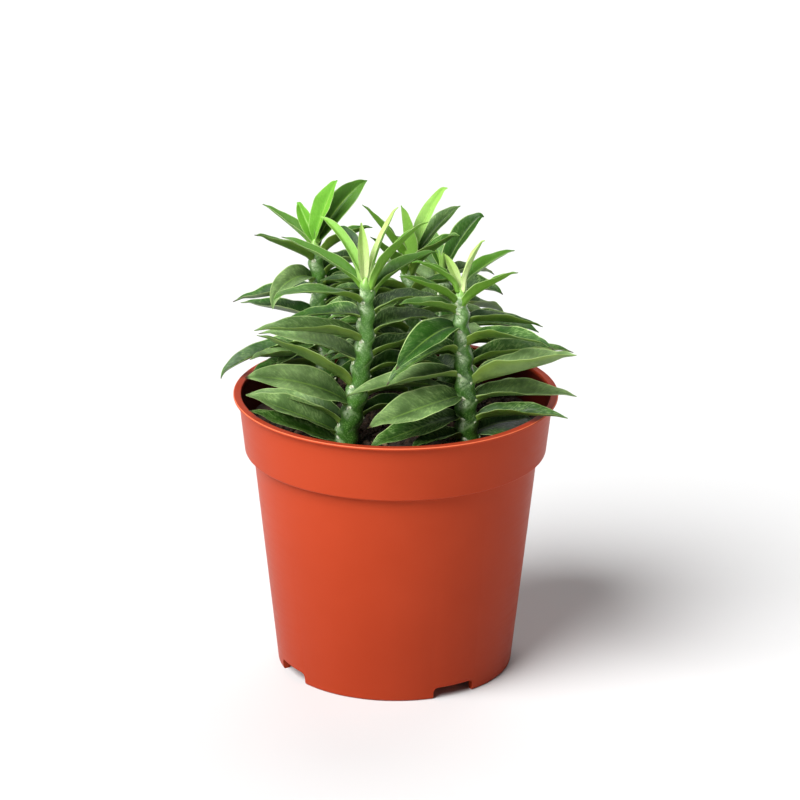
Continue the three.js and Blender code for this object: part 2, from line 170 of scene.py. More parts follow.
# A row for each leaf, in millimetres, as the frame's source has it: height of its base, tip x, y and z,
# rise of its arch over the chord, width when flat, degrees that its upper face turns to the front,
# how far its tip hooks down, and its share of the usual fold.
LeafRow = namedtuple("LeafRow", "height x y z arch width turn hook fold", defaults=(0, 0, 1))
FRONT_LEFT_LEAVES = [
    [139, -11.4, -20, 160.1, 1, 4.5, 70],
    [139, 0.5, -14, 163.5, 3, 3.5],
    [138.5, -25, -10, 158.9, 4, 5, 15],
    [138, 10.2, -26, 162.3, 3, 7],
    [138.5, -37.5, -8, 151.3, 1.5, 7],
    [135.5, 13.5, -10, 147, 2.5, 8],
    [134, -39.3, -39, 140, 2.4, 11, 0, 0.5, 0.35],
    [129.5, 15, -10, 131, 2.5, 11, 0, 0, 0.7],
    [128, -38, -12, 122.5, 2.3, 13, 0, 0, 0.45],
    [122.5, 15.5, -9, 123.5, 2.5, 12, 0, 0, 0.8],
    [121, -45.6, -37, 129, 1.4, 12],
    [115, 18, -6, 112, 2.5, 12],
    [113, -45.3, -4, 116.5, 2, 12, 0, 0, 0.7],
    [108.5, 18, -5, 105, 2.5, 12],
    [105.5, -45, -30, 125, 1, 10, -10],
    [101, 17, -5, 98, 2, 11],
    [98.4, -48.7, -39, 113.5, 3, 13, 40, 0, 0.5],
    [94, 13, -6, 92, 2, 10],
    [91.6, -49.5, -8, 96.5, 2.5, 11, 5],
    [88, -49, -21, 101, 0.6, 13, 15, 0, 0.8],
    [85, -48, -26, 97.6, 0, 11, 10, 0, 0.5],
    [136.5, -19, -4, 153.8, 4, 7],
    [104.5, 14, -6, 101.5, 2, 11],
]
FRONT_RIGHT_LEAVES = [
    [137, 15.5, -20, 149.5, 1, 4, 60],
    [137, 28.6, -20, 154.2, 3, 3.5],
    [137.5, 5, -24, 148, 2.2, 5],
    [138, 38.6, -8, 147, 1.8, 7],
    [134, 1, -34, 146.5, 1, 7],
    [133, 39, -34, 148, 1.2, 7],
    [130.7, 1, -31, 136, 1, 8],
    [127, 48.3, -6, 120, 1.2, 9],
    [124.6, 0, -42, 117.5, 3.3, 12, 20, 0, 0.6],
    [120, 50.6, -40, 124, 3, 10],
    [117.3, -3, -34, 109.3, 3.5, 11, 10],
    [112.5, 58.7, -2, 109.7, 2, 11],
    [109.6, -16, -35, 106, 0.8, 11, 5],
    [107, 58.2, -36, 120.8, -0.3, 16, 0, 0, 1.5],
    [101.8, -9, -44, 98.3, 0.6, 14, 20, 0, 0.6],
    [100.8, 59.3, -19, 100.4, 1, 12, 10],
    [94.6, -8.5, -37, 89, 0.8, 13, 20, 0, 0.6],
    [93.6, 56, -31, 97.2, 1.5, 10, 5],
    [97.5, 49, -3, 99, 1.5, 11],
    [88, 5, -37, 88.6, 1, 9, 15],
    [87.6, 45.5, -9, 88.5, 1.5, 13, 30, 0, 0.4],
]
BACK_LEFT_LEAVES = [
    [140, -19.7, 22, 161.4, 2, 9, 45],
    [139.5, -33.3, 30, 151.2, 1, 6, 45],
    [138.5, -9.8, 33, 158, 3.2, 10, 45],
    [138.5, -44.9, 32, 149.9, 0.8, 6],
    [136, -8, 16, 147, 1.5, 8],
    [134.5, -46.8, 6, 147.4, 0.4, 8],
    [128.5, -6, 29, 129, 3, 11],
    [126.5, -41, 9, 120.5, 4, 9, 30, 1],
    [123, -55.1, 30, 116, 0.7, 10],
    [125, -9, 24, 121.5, 2, 10, 10],
    [121, -5, 17, 126, 2.5, 12, 15],
    [117.5, -8, 25, 118, 2.5, 12, 10],
    [113.5, -52.8, 38, 113, 0.5, 10],
    [114.5, -4, 30, 112, 2.5, 12, 10],
    [105.5, -58.6, 12, 94.8, 2.6, 9, 5, 0.9],
    [107.5, -4, 18, 109, 2, 12, 15],
    [99.5, -48.6, 4, 104.5, 1.5, 10],
    [100.5, -4, 30, 97, 2, 12, 10],
    [104, -40, 8, 100.5, 1, 10],
    [96.5, -48.3, 9, 97.5, 2.5, 10],
    [93, -43, 23, 93, 1.5, 9],
    [93.5, -5, 20, 95.5, 1.5, 11, 10],
]
BACK_CENTRE_LEAVES = [
    [135, 16.8, 10, 162.6, 5, 6, 40],
    [135, 1.5, 3, 158.8, 2, 9, 30],
    [137, -11.3, 6, 158, 1, 8],
    [135.5, 21.2, 18, 154, 2.2, 9, 20],
    [134, -8.5, -5, 150.5, 0, 8],
    [133.5, 20.6, -4, 150.7, 2, 9, 15],
    [128, -25, -4, 135, 1, 11, 0, 0, 0.8],
    [124.5, -22, 8, 127, 2, 11],
    [124, -5, -3, 122.5, 1.5, 10],
    [127, 20, -2, 134, 1.5, 9],
    [121, -24, 9, 121.4, 2, 12, 10],
    [119.5, 30.2, 10, 118.8, 1.3, 12],
    [114, -24, -3, 118, 2, 12, 0, 0, 0.8],
    [112.5, 30.8, -5, 116, 2, 12, 10],
    [107, -24, 10, 103.7, 2, 12, 10],
    [105.5, 31.2, 12, 101.5, 1.3, 12],
    [100, -23, -6, 101.5, 2, 12, 0, 0, 0.8],
    [98.5, 29.8, -4, 100.3, 2, 12, 10],
    [96, -20, 13, 97, 2, 11],
    [110.5, -23, 6, 110.5, 1.5, 11],
    [104.5, -23, 4, 104, 1.5, 11],
    [117.5, -24, 8, 116.5, 2, 11],
    [92.5, -20, 2, 91.5, 1.5, 9],
    [91.5, 28.2, 10, 88.2, 1.5, 9],
]
BACK_RIGHT_LEAVES = [
    [127.5, 14.2, 25.5, 136, 0, 3],
    [127.5, 15.8, 24.5, 135.5, 0, 3],
    [127.5, 9, 40, 141, 1.5, 7],
    [127.5, 22, 36, 139.5, 1, 5],
    [126.5, 29.3, 30, 146.3, 3.2, 9, 30, 0.4],
    [126.5, 0, 44, 135, 1, 8],
    [125, 33.3, 44, 121.5, 2.5, 8],
    [121, -5, 38, 128, 1.5, 9],
    [118.5, 35.8, 22, 121.7, 3, 11, 10],
    [114.5, -7.1, 48, 114.8, 2, 10],
    [112.5, 37, 46, 106.8, 3, 11],
    [107.5, 48, 20, 109, 2.5, 11, 10],
    [107.5, -7, 41, 108, 2, 10],
    [100.5, 42.3, 42, 97.5, 2, 12],
    [100, -7.1, 48, 96.5, 2, 10],
    [93.5, 41.7, 16, 100.5, 1.5, 11, 10],
    [92.5, -5, 41, 92, 1.5, 9],
    [102.5, 44, 16, 104, 2, 11],
]

# Each stem: the points in millimetres that its axis passes, how fresh the leaves of its first rows are,
# 1 for the youngest, and the colour of single leaves by row, from 0 for deep green to 1 for grey green with
# a painted sheen.
# Chance gives the other leaves theirs.
STEMS = [
    {
        "name": "stem_front_left", "leaves": FRONT_LEFT_LEAVES,
        "axis": [[-17.9, -21, 70], [-16.4, -21, 84], [-12.4, -21, 104], [-10, -20.6, 121], [-9.7, -20, 142]],
        "fresh": [1, 1, 0.8, 0.5, 0.35, 0.25, 0.15], "mood": {16: 0.95, 19: 0.8},
    },
    {
        "name": "stem_front_right", "leaves": FRONT_RIGHT_LEAVES,
        "axis": [[24.4, -21, 70], [23.6, -21, 84], [22.8, -21, 104], [21.5, -21, 121], [20.5, -20.5, 139]],
        "fresh": [1, 1, 0.55, 0.4, 0.35, 0.4, 0.2], "mood": {8: 0, 13: 1, 14: 0.85, 15: 1, 17: 0.2, 20: 0},
    },
    {
        "name": "stem_back_left", "leaves": BACK_LEFT_LEAVES,
        "axis": [[-22.5, 20, 70], [-23.2, 20, 84], [-25, 21, 110], [-26.4, 22, 128], [-27, 22, 141]],
        "fresh": [0.66, 0.62, 0.3, 0.35, 0.1, 0.15], "mood": {},
    },
    {
        "name": "stem_back_centre", "leaves": BACK_CENTRE_LEAVES,
        "axis": [[7.2, 8, 70], [7, 8, 84], [6.2, 8, 108], [4.8, 8.6, 124], [3.8, 9, 138]],
        "fresh": [0.84, 0.64, 0.4, 0.1, 0.3, 0.05], "mood": {3: 0.7},
    },
    {
        "name": "stem_back_right", "leaves": BACK_RIGHT_LEAVES,
        "axis": [[18.6, 26, 70], [18.4, 26, 84], [18, 26, 104], [16.8, 26, 117], [15.4, 26, 129]],
        "fresh": [0.8, 0.8, 0.3, 0.3, 0.1, 0.1], "mood": {4: 0},
    },
]


# Smaller tools

def linear(red, green, blue):
    """A colour given as 0 to 255 screen values, in the linear values of shaders."""
    channels = [value / 255 for value in (red, green, blue)]
    return tuple(c / 12.92 if c <= 0.04045 else ((c + 0.055) / 1.055) ** 2.4 for c in channels) + (1.0,)


def unit(vectors):
    return vectors / np.linalg.norm(vectors, axis=-1, keepdims=True)


def smoothstep(low, high, values):
    share = np.clip((values - low) / (high - low), 0, 1)
    return share * share * (3 - 2 * share)


def hill(distance, width):
    """1 where a distance is 0, falling off to either side over about a width."""
    return np.exp(-(distance / width) ** 2)


def scatter(number):
    """A fixed scatter between 0 and 1 for item number, as the frame's source has it."""
    value = math.sin(number * 12.9898) * 43758.5453
    return value - math.floor(value)


def new_object(name, points, faces, attributes=None, smooth=True):
    """A mesh object from arrays of points and faces, with per-point vector attributes."""
    mesh = bpy.data.meshes.new(name)
    mesh.from_pydata(np.asarray(points).tolist(), [], [list(face) for face in faces])
    for title, values in (attributes or {}).items():
        add_attribute(mesh, title, values)
    mesh.polygons.foreach_set("use_smooth", [smooth] * len(mesh.polygons))
    mesh.update()
    thing = bpy.data.objects.new(name, mesh)
    bpy.context.scene.collection.objects.link(thing)
    return thing


def add_attribute(mesh, title, values):
    """Three numbers for each point of a mesh, for its material to read."""
    layer = mesh.attributes.new(title, "FLOAT_VECTOR", "POINT")
    layer.data.foreach_set("vector", np.asarray(values, dtype=np.float32).ravel())


def grid_faces(rows, columns):
    """Quads over a grid of points whose columns are joined in a ring."""
    faces = []
    for i in range(rows - 1):
        for j in range(columns):
            k = (j + 1) % columns
            faces.append((i * columns + j, i * columns + k, (i + 1) * columns + k, (i + 1) * columns + j))
    return faces


def capped_grid_faces(rows, columns):
    """Quads over such a grid, with a face over its first row and one over its last."""
    faces = grid_faces(rows, columns)
    faces.append(tuple(reversed(range(columns))))
    faces.append(tuple((rows - 1) * columns + j for j in range(columns)))
    return faces


# Colours. A pair is mixed by a pattern; for a young leaf's two sides, the lower side comes first.

WHITE = linear(255, 255, 255)
LEAF_DARK = linear(33, 68, 14), linear(60, 104, 28)
LEAF_DEEP = linear(24, 70, 12)
# Painted sheen: a grey highlight laid into the upper face's colour
LEAF_PAINTED_SHEEN = linear(132, 158, 102)
LEAF_STREAK = linear(156, 188, 114)
# Painted shade for the upper face, by the midrib and near the stem
LEAF_SHADE = linear(140, 160, 128)
UNDERSIDE = linear(116, 146, 56), linear(80, 112, 42)
# Painted sheen: a grey highlight laid into the under face's colour
UNDERSIDE_PAINTED_SHEEN = linear(148, 174, 112)
UNDERSIDE_DEEP = linear(44, 92, 26)
UNDERSIDE_BLOTCH = linear(52, 86, 26)
UNDERSIDE_EDGE = linear(140, 170, 62)
YOUNG_GREEN = linear(102, 148, 46), linear(76, 122, 34)
YOUNG_LIME = linear(144, 196, 84), linear(116, 182, 56)
YOUNG_PALE = linear(212, 228, 162), linear(170, 208, 104)
YOUNG_STREAK = linear(214, 226, 190)
LEAF_MIDRIB = linear(138, 176, 74)
LEAF_MARGIN = linear(190, 218, 140)
LEAF_WITHERED = linear(62, 52, 32)

STALK_GREEN = linear(36, 82, 15), linear(60, 110, 25)
STALK_FOOT = linear(34, 68, 16)
STALK_UPPER = linear(92, 144, 60)
STALK_SPECK = linear(128, 170, 92)
STALK_SWELL_HIGHLIGHT = linear(96, 148, 58)
STALK_RIM_AND_HIGHLIGHT = linear(176, 208, 146)
STALK_PAINTED_HIGHLIGHT = linear(216, 236, 194)
STALK_CREASE_SHADE = linear(30, 56, 18)
STALK_FLECK = linear(216, 226, 196)
STALK_YOUNG = linear(150, 196, 98)
GLAND_PALE = linear(176, 190, 140), linear(228, 232, 206)

POT_CLOUD = linear(170, 60, 30), linear(176, 64, 34)
POT_FOOT_SHADE = linear(132, 42, 20)
POT_INSIDE_SHADE = linear(78, 22, 14)
POT_LIP_TOP_SHADE = linear(128, 42, 28)
POT_LIP_HIGHLIGHT = linear(240, 132, 92)

SOIL_CLOD = linear(27, 18, 12), linear(62, 43, 29)
SOIL_FLECK = linear(112, 80, 58)
GRAIN_SHADES = linear(33, 22, 14), linear(74, 51, 35)
GRAIN_BARK = linear(134, 104, 76)
GRAIN_MOTTLE = linear(90, 90, 90), WHITE


# Shader building

class Nodes:
    """A material's or world's node tree, with one short call for each node."""

    def __init__(self, name, owners=bpy.data.materials, shader="Principled BSDF"):
        self.owner = owners.new(name)
        self.owner.use_nodes = True
        self.tree = self.owner.node_tree
        self.shader = self.tree.nodes[shader]

    def put(self, node, key, value):
        if isinstance(value, bpy.types.NodeSocket):
            self.tree.links.new(value, node.inputs[key])
        else:
            node.inputs[key].default_value = value

    def add(self, kind, inputs, **settings):
        node = self.tree.nodes.new("ShaderNode" + kind)
        for key, value in settings.items():
            setattr(node, key, value)
        for key, value in inputs.items():
            self.put(node, key, value)
        return node

    def math(self, operation, first, second=0.0):
        return self.add("Math", {0: first, 1: second}, operation=operation).outputs[0]

    def times(self, first, second):
        return self.math("MULTIPLY", first, second)

    def mix(self, share, first, second, blend="MIX"):
        inputs = {0: share, 6: first, 7: second}
        return self.add("Mix", inputs, data_type="RGBA", blend_type=blend).outputs[2]

    def layers(self, colour, layers):
        """Lays colours over a colour, one after the other, each by its share."""
        for share, layer in layers:
            colour = self.mix(share, colour, layer)
        return colour

    def range(self, value, low, high, to_low=0.0, to_high=1.0):
        """value taken smoothly from low..high to to_low..to_high."""
        inputs = {0: value, 1: low, 2: high, 3: to_low, 4: to_high}
        return self.add("MapRange", inputs, interpolation_type="SMOOTHSTEP").outputs[0]

    def parts(self, title):
        """The three numbers of a point attribute."""
        vector = self.add("Attribute", {}, attribute_name=title).outputs["Vector"]
        return self.add("SeparateXYZ", {0: vector}).outputs[:3]

    def place(self, output="Object"):
        return self.add("TexCoord", {}).outputs[output]

    def height(self, place):
        return self.add("SeparateXYZ", {0: place}).outputs[2]

    def noise(self, vector, scale, detail=3.0, roughness=0.55, distortion=0.0):
        inputs = {"Vector": vector, "Scale": scale, "Detail": detail}
        inputs.update({"Roughness": roughness, "Distortion": distortion})
        return self.add("TexNoise", inputs).outputs["Fac"]

    def bump(self, height, strength, distance):
        node = self.add("Bump", {"Strength": strength, "Distance": distance, "Height": height})
        self.put(self.shader, "Normal", node.outputs[0])

    def set(self, **values):
        """Shader sockets by name, with underscores for spaces."""
        for key, value in values.items():
            self.put(self.shader, key.replace("_", " "), value)


# Stems: the same axis, stalk radius and leaf midribs as the frame's source

def leaf_rows(stem):
    return [LeafRow(*row) for row in stem["leaves"]]


def stem_top(stem):
    return stem["axis"][-1][2] * MM


def axis_at(stem, heights):
    """Points of a stem's axis at heights: a smooth curve that swings from node to node."""
    points = np.array(stem["axis"], float) * MM
    levels = points[:, 2]
    slopes = np.gradient(points, levels, axis=0)
    heights = np.clip(np.asarray(heights, float), levels[0], levels[-1])
    index = np.clip(np.searchsorted(levels, heights, side="right") - 1, 0, len(levels) - 2)
    span = (levels[index + 1] - levels[index])[:, None]
    share = ((heights - levels[index])[:, None]) / span
    low, high = points[index], points[index + 1]
    rise, fall = slopes[index] * span, slopes[index + 1] * span
    curve = (2 * share ** 3 - 3 * share ** 2 + 1) * low + (share ** 3 - 2 * share ** 2 + share) * rise
    curve = curve + (3 * share ** 2 - 2 * share ** 3) * high + (share ** 3 - share ** 2) * fall
    swing = ZIGZAG * np.sin((heights - SOIL_LEVEL) / NODE_SPACING * 2 * math.pi)
    curve[:, 0] += np.where(heights > SOIL_LEVEL, swing, 0)
    curve[:, 2] = heights
    return curve


def stalk_radius(stem, heights):
    """The stalk tapers all the way up, and quickly inside the bud of young leaves."""
    top = stem_top(stem)
    share = np.clip((np.asarray(heights) - SOIL_LEVEL) / (top - SOIL_LEVEL), 0, 1)
    taper = STALK_LOW_RADIUS + (STALK_TOP_RADIUS - STALK_LOW_RADIUS) * share ** STALK_TAPER
    return taper * (1 - BUD_NARROWING * smoothstep(top - BUD_LENGTH, top, np.asarray(heights)))


def midrib(stem, row, shares):
    """Points of a leaf's midrib: it leaves the stalk steeply, then runs out to its tip."""
    height, arch = row.height * MM, row.arch * MM
    tip = np.array([row.x, row.y, row.z]) * MM
    centre = axis_at(stem, [height])[0]
    outward = unit((tip - centre) * (1, 1, 0))
    start = centre + outward * max(0, float(stalk_radius(stem, height)) - ROOT_DEPTH)
    chord = tip - start
    bend_reach = BEND_REACH + (1 - BEND_REACH) * row.hook
    bend_lift = BEND_LIFT + row.hook
    first = start + FOOT_REACH * chord + FOOT_LIFT * arch * UP
    second = start + bend_reach * chord + bend_lift * arch * UP
    t = shares[:, None]
    return start * (1 - t) ** 3 + 3 * first * t * (1 - t) ** 2 + 3 * second * t * t * (1 - t) + tip * t ** 3


def half_width(width, shares):
    """Half of a blade's width along it: a narrow foot, full near the middle, a small round tip."""
    fullest = BLADE_SWELL / (BLADE_SWELL + BLADE_CLOSE)
    outline = shares ** BLADE_SWELL * (1 - shares) ** BLADE_CLOSE
    outline = outline / (fullest ** BLADE_SWELL * (1 - fullest) ** BLADE_CLOSE)
    root = PETIOLE_WIDTH * np.maximum(0, 1 - 4 * shares)
    tip = TIP_WIDTH * np.sqrt(np.clip((TIP_END - shares) / TIP_ROUNDING, 0, 1))
    return np.maximum(np.maximum(width * outline, root), tip) / 2


# Leaves. Arrays have a row for each station along the blade and a column for each place across it.

def curl_tip(points, shares, chance):
    """Lifts a midrib a little just before its end, so that the tip curls down."""
    lift = HOOK_HEIGHT * (0.3 + chance) * hill(shares - HOOK_PLACE, HOOK_REACH)
    points = points + lift[:, None] * UP
    return points, unit(np.gradient(points, shares, axis=0))


def blade_frame(points, along, turn):
    """For each station, the direction that the upper face looks in and the one across the blade."""
    level = unit(UP - along * (along @ UP)[:, None])
    across = np.cross(along, level)
    front_sign = np.where(across @ FRONT < 0, -1.0, 1.0)[:, None]
    face = level * math.cos(turn) + across * front_sign * math.sin(turn)
    return face, unit(np.cross(along, face))


def blade_section(fold, across):
    """How far out, how high and how steep each column lies where half the blade's width is 1."""
    steps = np.linspace(0, 1, SECTION_STEPS)[None, :]
    steepness = fold * smoothstep(0, 0.22, steps) * (1.12 - 0.34 * steps ** 2)
    out = np.cumsum(np.cos(steepness), axis=1) / SECTION_STEPS
    lift = np.cumsum(np.sin(steepness), axis=1) / SECTION_STEPS
    curves = (out - out[:, :1], lift - lift[:, :1], steepness)
    return [np.array([np.interp(np.abs(across[0]), steps[0], line) for line in curve]) for curve in curves]


def blade_ripple(shares, across, reach, number, chance):
    """Waves of the margins with finer crinkles on them, for a leaf number and two of its chances."""
    size, along = reach / WAVE_FULL_REACH, shares[:, None]
    wave = WAVE_HEIGHT * size * np.sin(2 * math.pi * (WAVES_PER_BLADE * along + scatter(number)))
    turns = (CRINKLES_PER_BLADE + 1.5 * chance[0]) * along + chance[1]
    crinkle = CRINKLE_HEIGHT * size * np.sin(2 * math.pi * turns + CRINKLE_SHIFT * np.sign(across))
    return np.sign(across) * np.abs(across) ** 1.5 * wave + np.abs(across) ** 3 * crinkle


def blade_depths(shares, across, reach):
    """How deep the upper face is grooved, and how deep the under face lies with its keel."""
    taper = np.clip(1.15 - shares, 0.25, 1)[:, None]
    body = np.sqrt(np.clip(1 - np.abs(across) ** 3, 0, 1))
    plump = smoothstep(0.22, 0.0, shares)[:, None]
    thickness = BLADE_THICKNESS * (taper * (0.55 + 0.45 * (1 - np.abs(across))) + 0.9 * plump) * body
    rib = hill(across * reach, RIB_WIDTH)
    keel = KEEL_DEPTH * rib * (1 - shares[:, None]) ** 0.8
    groove = GROOVE_DEPTH * rib * np.sin(math.pi * shares)[:, None] ** 0.5
    return groove, thickness + keel * body


def blade_loop(ground, upward, depths):
    """The points around a blade at each station: across the upper face and back across the under face."""
    upper, under = [ground - upward * depth[..., None] for depth in depths]
    return np.concatenate([upper, under[:, -2:0:-1]], axis=1)


def blade_faces(columns):
    """Quads around the blade, and strips that close its two ends."""
    faces = grid_faces(BLADE_STATIONS, columns)
    last = (BLADE_STATIONS - 1) * columns
    for a in range(BLADE_COLUMNS - 1):
        b = a + 1
        c, d = (columns - b) % columns, (columns - a) % columns
        strip = [b, a] + ([d] if d != a else []) + ([c] if c != b else [])
        faces.append(tuple(strip))
        faces.append(tuple(last + k for k in reversed(strip)))
    return faces


def blade_attributes(shares, across, blade_chance, young, mood):
    """Where each point is on the blade, and how young, which way up and of what mood it is."""
    loop_across = np.concatenate([across[0], across[0, -2:0:-1]])
    upper_side = np.concatenate([np.ones(BLADE_COLUMNS), np.zeros(BLADE_COLUMNS - 2)])
    upper_side[[0, BLADE_COLUMNS - 1]] = 0.5
    size = (BLADE_STATIONS, len(loop_across))
    blade = (shares[:, None], loop_across, blade_chance)
    tone = (young, upper_side, mood)
    return [np.stack([np.broadcast_to(part, size) for part in parts], axis=-1).reshape(-1, 3)
            for parts in (blade, tone)]


def leaf_mesh(stem, row, number, young, mood):
    """Points, faces and attributes of one leaf: a folded blade with a keel and thin waved edges."""
    shares = np.append(np.linspace(0, 0.96, BLADE_STATIONS - 3), [0.98, 0.992, 1.0])
    chance = [scatter(number + 1000 * k) for k in range(7)]
    points, along = curl_tip(midrib(stem, row, shares), shares, chance[6])
    face, side = blade_frame(points, along, math.radians(row.turn + 10 * (chance[0] - 0.5)))
    face, side = face[:, None, :], side[:, None, :]
    reach = half_width(row.width * MM, shares)[:, None]
    across = np.sin(np.linspace(-math.pi / 2, math.pi / 2, BLADE_COLUMNS))[None, :]

    fold = FOLD_AT_BASE + (FOLD_AT_TIP - FOLD_AT_BASE) * shares
    fold = (fold * row.fold * (0.85 + 0.25 * chance[1]))[:, None]
    out, lift, tilt = blade_section(fold, across)
    ripple = blade_ripple(shares, across, reach, number, chance[2:4])
    ground = points[:, None, :] + side * (np.sign(across) * out * reach)[..., None]
    ground = ground + face * (lift * reach + ripple)[..., None]
    upward = face * np.cos(tilt)[..., None] - side * (np.sign(across) * np.sin(tilt))[..., None]

    loop = blade_loop(ground, upward, blade_depths(shares, across, reach))
    mood = chance[5] if mood is None else mood
    blade, tone = blade_attributes(shares, across, chance[4], young, mood)
    return loop.reshape(-1, 3), blade_faces(loop.shape[1]), blade, tone


def leaves_piece(stem, stem_number):
    """All the leaves of one stem as one piece."""
    points, faces, blades, tones = [], [], [], []
    count = 0
    for i, row in enumerate(leaf_rows(stem)):
        young = stem["fresh"][i] if i < len(stem["fresh"]) else 0
        mood = stem["mood"].get(i)
        number = stem_number * MOST_LEAVES + i + 1
        own_points, own_faces, blade, tone = leaf_mesh(stem, row, number, young, mood)
        faces += [tuple(k + count for k in face) for face in own_faces]
        points.append(own_points)
        blades.append(blade)
        tones.append(tone)
        count += len(own_points)
    attributes = {"blade": np.concatenate(blades), "tone": np.concatenate(tones)}
    return new_object(stem["name"].replace("stem", "leaves"), np.concatenate(points), faces, attributes)


# Stalks

def leaf_bases(stem):
    """Height and azimuth of each leaf's base, from the lowest up."""
    bases = []
    for row in leaf_rows(stem):
        centre = axis_at(stem, [row.height * MM])[0]
        bases.append((row.height * MM, math.atan2(row.y * MM - centre[1], row.x * MM - centre[0])))
    return sorted(bases)


def around(azimuth, direction):
    """The angle from a direction to each azimuth, at most half a turn either way."""
    return (azimuth - direction + math.pi) % (2 * math.pi) - math.pi


def base_marks(stem, level, azimuth, height, direction):
    """A swollen cushion under a slanting edge with a pale rim that is partly a painted highlight, a crease
    over it for painted shade, two scars and a patch of painted highlight.
    """
    turn = np.abs(around(azimuth, direction))
    edge = height + EDGE_RISE - EDGE_DROP * (turn / 1.3) ** 1.4
    fade = np.cos(np.clip(turn / 2.0, 0, 1) * math.pi / 2) ** 0.8
    below = (edge - level) / CUSHION_LENGTH
    belly = (0.4 + 0.6 * smoothstep(0.0, 0.3, below)) * (1 - smoothstep(0.35, 1.0, below))
    left, right = [around(azimuth - direction, hand * SCAR_TURN) * stalk_radius(stem, height) / MM
                   for hand in (-1, 1)]
    up = (level - height + GLAND_DROP) / MM
    return {
        "swell": smoothstep(-0.05, 0.03, below) * belly * fade,
        # A pale rim under each edge: partly the stalk's own pale line, partly a painted highlight.
        "rim": hill(edge - level - 0.5 * MM, 0.6 * MM) * fade,
        # Painted shade in the crease over each edge.
        "crease": hill(edge - level + 0.45 * MM, 0.35 * MM) * fade,
        "scar": np.maximum(0.7 * hill(left, 1.1), hill(right, 1.1)) * hill(up, 0.8),
        # A patch of painted highlight on one side of each leaf's base.
        "painted_highlight": hill(right, 1.6) * hill(up + 1.9, 1.9),
    }


def stalk_marks(stem, level, azimuth):
    """The marks of all the leaf bases together, the strongest of each kind at each point."""
    marks = dict.fromkeys(("swell", "rim", "crease", "scar", "painted_highlight"), np.zeros_like(level))
    for height, direction in leaf_bases(stem):
        for kind, values in base_marks(stem, level, azimuth, height, direction).items():
            marks[kind] = np.maximum(marks[kind], values)
    return marks


def stalk_youth(stem, height):
    """How young a stretch of stalk is: 1 at the growing tip, 0 a node below."""
    return hill(stem_top(stem) - height, YOUNG_STRETCH)


def stalk_piece(stem):
    """The stalk, with a swollen cushion that runs up to each leaf and ends just above it."""
    top = stem_top(stem)
    low = SOIL_LEVEL - STALK_SUNK
    count = int((top - low) / STALK_RING_STEP)
    heights = np.linspace(low, top, count)
    angles = np.arange(STALK_SIDES) / STALK_SIDES * 2 * math.pi
    level, azimuth = np.meshgrid(heights, angles, indexing="ij")
    marks = stalk_marks(stem, level, azimuth)

    cushions = marks["swell"] * (level < top - BUD_LENGTH)
    radius = stalk_radius(stem, level) * (0.95 + CUSHION_HEIGHT * cushions)
    near_top = np.clip((top - level) / STALK_ROUNDING, 0, 1)
    radius = radius * np.sqrt(1 - (1 - near_top) ** 2 * 0.97)
    x, y = axis_at(stem, heights)[:, :2].T[..., None]
    points = np.stack([x + radius * np.cos(azimuth), y + radius * np.sin(azimuth), level], axis=-1)

    scar = marks["scar"] * (level < top - UNSCARRED_LENGTH)
    tone = np.stack([stalk_youth(stem, level), marks["rim"], marks["crease"]], axis=-1)
    kinds = np.stack([scar, marks["swell"], marks["painted_highlight"]], axis=-1)
    faces = capped_grid_faces(count, STALK_SIDES)
    name = stem["name"].replace("stem", "stalk")
    return new_object(name, points.reshape(-1, 3), faces, {"tone": tone, "marks": kinds})


def gland_points(stem, height, direction, hand):
    """A small flat bumpy ball on the stalk beside a leaf's base, slanting down to the leaf."""
    angle = direction + hand * SCAR_TURN
    size = 1 if hand > 0 else SMALL_GLAND
    level = height - GLAND_DROP
    outward = np.array([math.cos(angle), math.sin(angle), 0])
    middle = axis_at(stem, [level])[0] + outward * (float(stalk_radius(stem, level)) + 0.12 * MM)
    slant = unit(np.cross(UP, outward) - hand * 0.7 * UP)
    rise = np.cross(outward, slant)
    points = []
    for i in range(GLAND_RINGS):
        polar = math.pi * (i + 0.5) / GLAND_RINGS
        for j in range(GLAND_SIDES):
            spin = 2 * math.pi * j / GLAND_SIDES
            bumpy = 1 + 0.7 * (DRAWS.random() - 0.5)
            ring = slant * GLAND_LENGTH * math.cos(spin) + rise * GLAND_WIDTH * math.sin(spin)
            offset = ring * math.sin(polar) + outward * GLAND_WIDTH * math.cos(polar)
            points.append(middle + offset * bumpy * size)
    return points


def scars_piece(stem):
    """The small pale glands on either side of each leaf's base."""
    points, faces = [], []
    ball_faces = [tuple(reversed(face)) for face in capped_grid_faces(GLAND_RINGS, GLAND_SIDES)]
    for height, direction in leaf_bases(stem):
        if stem_top(stem) - height < GLANDLESS_LENGTH:
            continue
        for hand in (-1, 1):
            faces += [tuple(len(points) + k for k in face) for face in ball_faces]
            points += gland_points(stem, height, direction, hand)
    return new_object(stem["name"].replace("stem", "scars"), points, faces)


# Pot

def body_radius(height):
    return BODY_LOW_RADIUS + (BODY_TOP_RADIUS - BODY_LOW_RADIUS) * height / BAND_FOOT


def band_radius(height):
    rise = (height - BAND_FOOT) / (LIP_FOOT - BAND_FOOT)
    return BAND_LOW_RADIUS + (BAND_TOP_RADIUS - BAND_LOW_RADIUS) * rise


def rounded(corners, steps=5):
    """A profile through [radius, height, fillet] corners, each turned on an arc of its fillet."""
    points = []
    for i, (radius, height, fillet) in enumerate(corners):
        here = np.array([radius, height])
        if not fillet:
            points.append(here)
            continue
        back = unit(np.array(corners[i - 1][:2]) - here)
        ahead = unit(np.array(corners[i + 1][:2]) - here)
        half = math.acos(float(np.clip(back @ ahead, -1, 1))) / 2
        centre = here + unit(back + ahead) * fillet / math.sin(half)
        start, end = here + back * fillet / math.tan(half), here + ahead * fillet / math.tan(half)
        for k in range(steps + 1):
            chord = start + (end - start) * k / steps
            points.append(centre + unit(chord - centre) * fillet)
    return points


